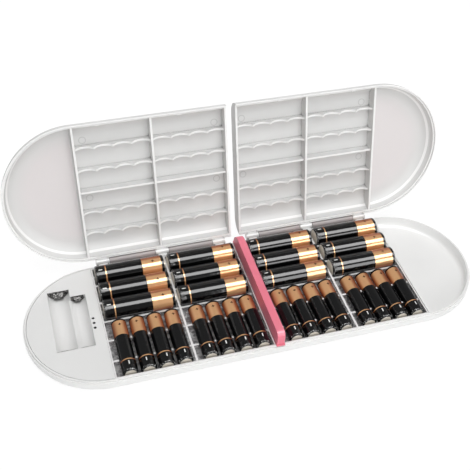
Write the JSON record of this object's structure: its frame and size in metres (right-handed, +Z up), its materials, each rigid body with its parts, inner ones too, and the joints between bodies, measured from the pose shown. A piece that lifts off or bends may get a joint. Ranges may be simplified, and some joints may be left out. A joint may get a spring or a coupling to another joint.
{
  "type": "battery tester case",
  "caption": "Pill-shaped battery storage case with two hinged lids, clear cell trays, a centre band and a built-in two-bay battery tester.",
  "frame": {"origin": "middle of the flat underside of the base", "axes": "+X along the case to the right, away from the tester; +Y to the hinges at the back; +Z up"},
  "size_m": [0.3244, 0.1417, 0.1122],
  "materials": {
    "white_case": "satin white ABS",
    "white_lid": "satin white ABS",
    "clear_tray": "clear polystyrene",
    "pink_band": "satin pink ABS",
    "steel_rod": "zinc-plated steel",
    "contact_metal": "nickel-plated spring steel",
    "circuit_board": "solder mask",
    "chip_black": "moulded epoxy",
    "light_lens": "clear epoxy, unlit",
    "cell_jacket": "printed film sleeve, black and copper"
  },
  "bodies": {
    "root": {"base_shell": "white_case", "tester_cover": "white_case", "clear_tray_left": "clear_tray", "clear_tray_right": "clear_tray", "centre_band": "pink_band", "left_hinge_rod": "steel_rod", "right_hinge_rod": "steel_rod", "aa_spring_contact": "contact_metal", "aaa_spring_contact": "contact_metal", "aa_front_contact": "contact_metal", "aaa_front_contact": "contact_metal", "tester_board": "circuit_board", "board_chip": "chip_black", "indicator_lights": "light_lens", "cover_screws": "steel_rod", "aa_cell_1_1": "cell_jacket", "aa_cell_1_2": "cell_jacket", "aa_cell_1_3": "cell_jacket", "aa_cell_2_1": "cell_jacket", "aa_cell_2_2": "cell_jacket", "aa_cell_2_3": "cell_jacket", "aa_cell_3_1": "cell_jacket", "aa_cell_3_2": "cell_jacket", "aa_cell_3_3": "cell_jacket", "aa_cell_4_1": "cell_jacket", "aa_cell_4_2": "cell_jacket", "aa_cell_4_3": "cell_jacket", "aaa_cell_1_1": "cell_jacket", "aaa_cell_1_2": "cell_jacket", "aaa_cell_1_3": "cell_jacket", "aaa_cell_1_4": "cell_jacket", "aaa_cell_2_1": "cell_jacket", "aaa_cell_2_2": "cell_jacket", "aaa_cell_2_3": "cell_jacket", "aaa_cell_2_4": "cell_jacket", "aaa_cell_3_1": "cell_jacket", "aaa_cell_3_2": "cell_jacket", "aaa_cell_3_3": "cell_jacket", "aaa_cell_3_4": "cell_jacket", "aaa_cell_4_1": "cell_jacket", "aaa_cell_4_2": "cell_jacket", "aaa_cell_4_3": "cell_jacket", "aaa_cell_4_4": "cell_jacket"},
    "left_lid_body": {"left_lid": "white_lid"},
    "right_lid_body": {"right_lid": "white_lid"}
  },
  "joints": [
    {"name": "left_lid_hinge", "type": "hinge", "parent": "root", "child": "left_lid_body", "pos_m": [-0.0554, 0.0543, 0.01], "axis": [1, 0, 0], "range_deg": [0, 105.3]},
    {"name": "right_lid_hinge", "type": "hinge", "parent": "root", "child": "right_lid_body", "pos_m": [0.0554, 0.0543, 0.01], "axis": [1, 0, 0], "range_deg": [0, 105.3]}
  ]
}
